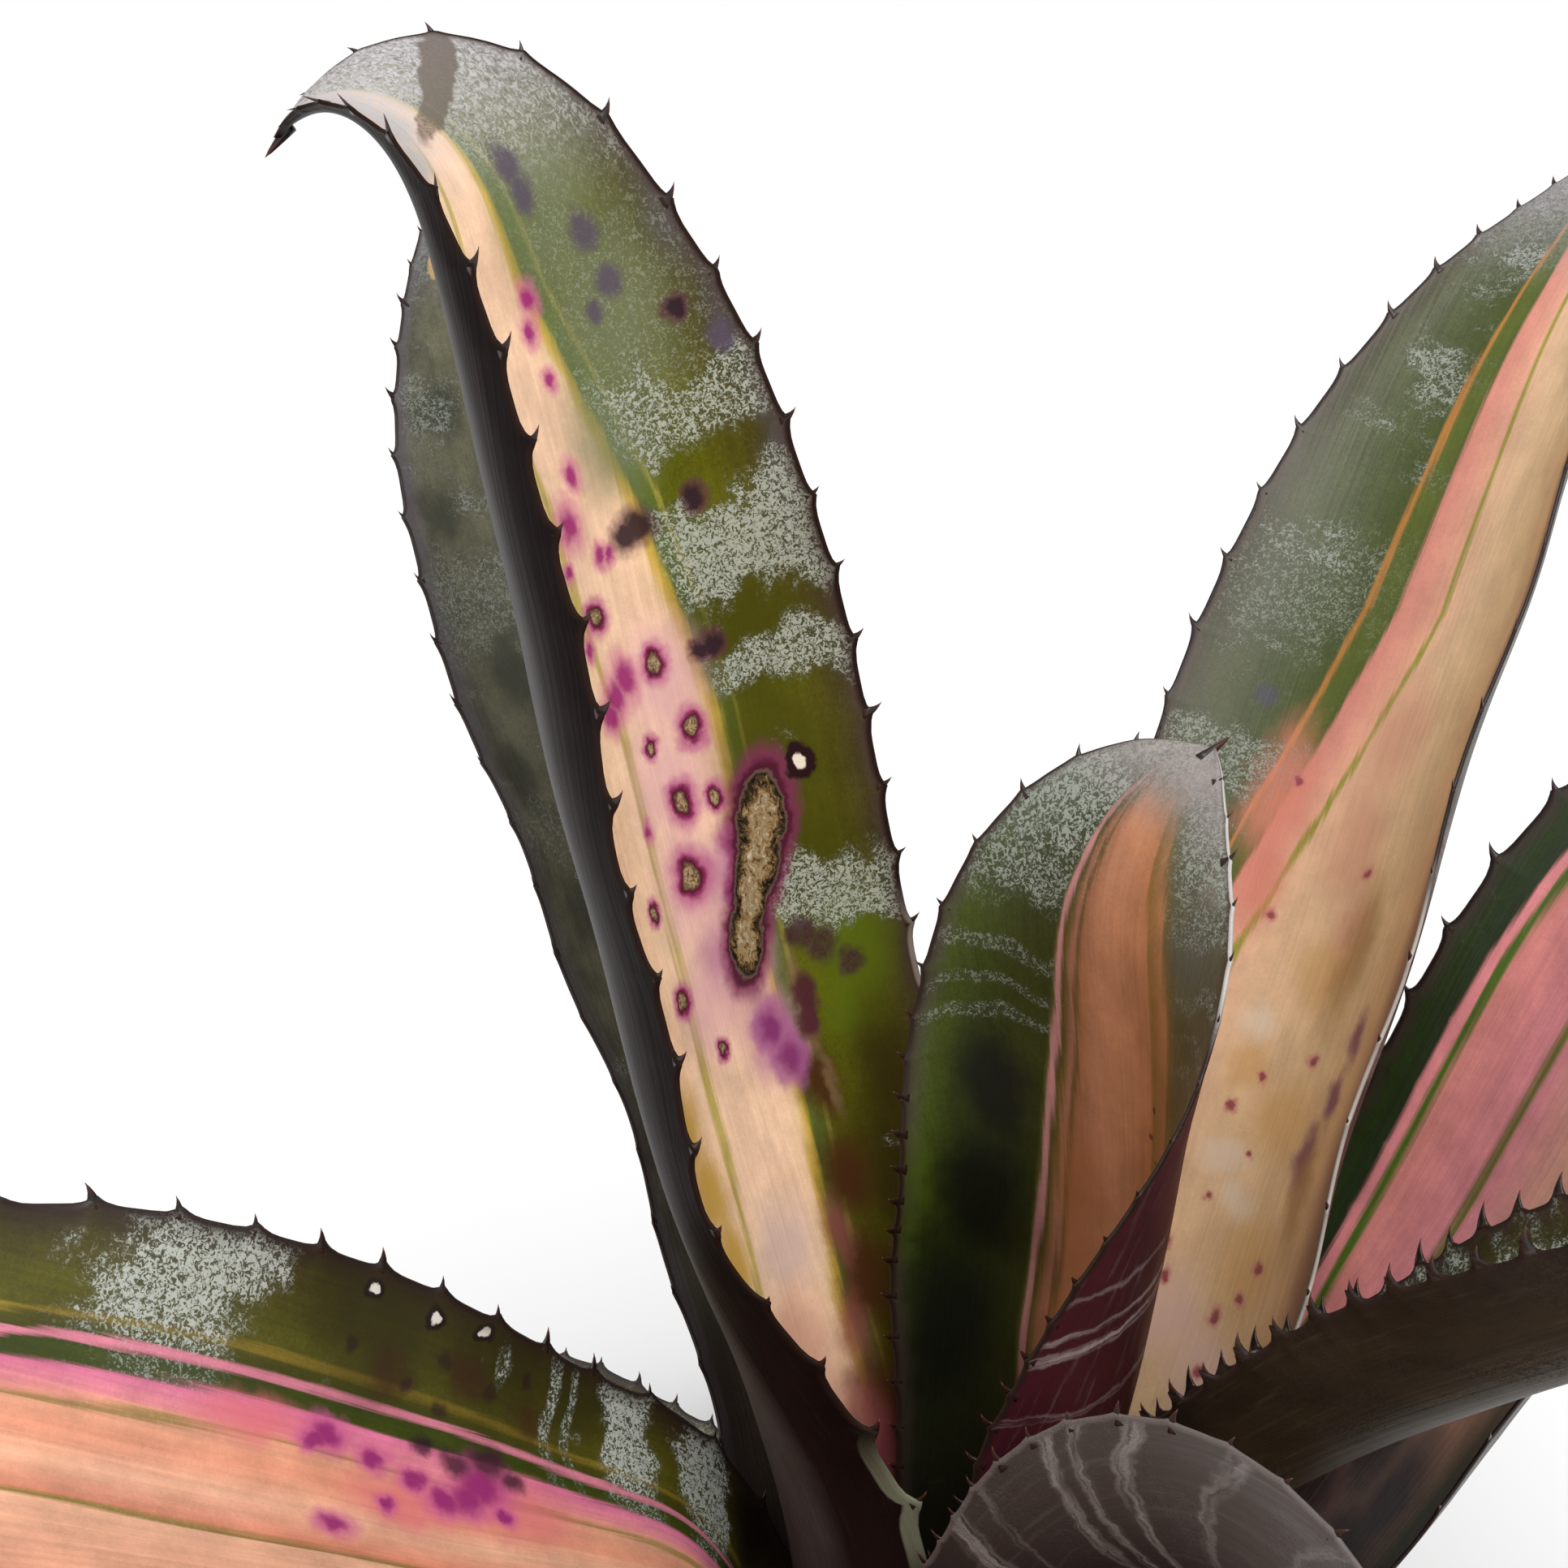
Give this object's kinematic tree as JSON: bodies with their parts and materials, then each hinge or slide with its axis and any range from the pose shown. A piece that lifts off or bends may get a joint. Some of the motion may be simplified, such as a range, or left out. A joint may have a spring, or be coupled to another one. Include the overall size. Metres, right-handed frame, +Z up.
{
  "type": "tank bromeliad plant",
  "caption": "Open rosette of broad channelled strap leaves with spiny margins, nested sheaths holding a water cup, and a short cut stem.",
  "frame": {"origin": "centre of the flat cut face at the foot of the stem, on the surface the plant rests on", "axes": "+Z up along the stem, out of the rosette; the viewer of the picture looks along +Y with +X to the right"},
  "size_m": [0.3684, 0.4027, 0.2829],
  "materials": {
    "stem": "fibrous brown, matte",
    "young_leaf": "waxy green with salmon and pink stripes",
    "striped_leaf": "waxy, half olive green and half cream, pink and peach, magenta blotches",
    "dark_leaf": "waxy charcoal to maroon outer face, dull grey scale bands",
    "grey_leaf": "dull grey green, mottled",
    "old_leaf": "waxy dull olive green with pink and cream streaks"
  },
  "bodies": {
    "root": {"stem": "stem", "heart_leaf": "young_leaf", "tall_left_leaf": "striped_leaf", "right_front_leaf": "dark_leaf", "front_fold_leaf": "dark_leaf", "left_arching_leaf": "striped_leaf", "back_left_leaf": "grey_leaf", "front_leaf": "striped_leaf", "right_back_leaf": "striped_leaf", "right_leaf": "striped_leaf", "low_left_leaf": "old_leaf", "low_right_leaf": "old_leaf", "low_back_leaf": "old_leaf", "low_front_leaf": "old_leaf", "low_back_left_leaf": "old_leaf"}
  },
  "joints": []
}
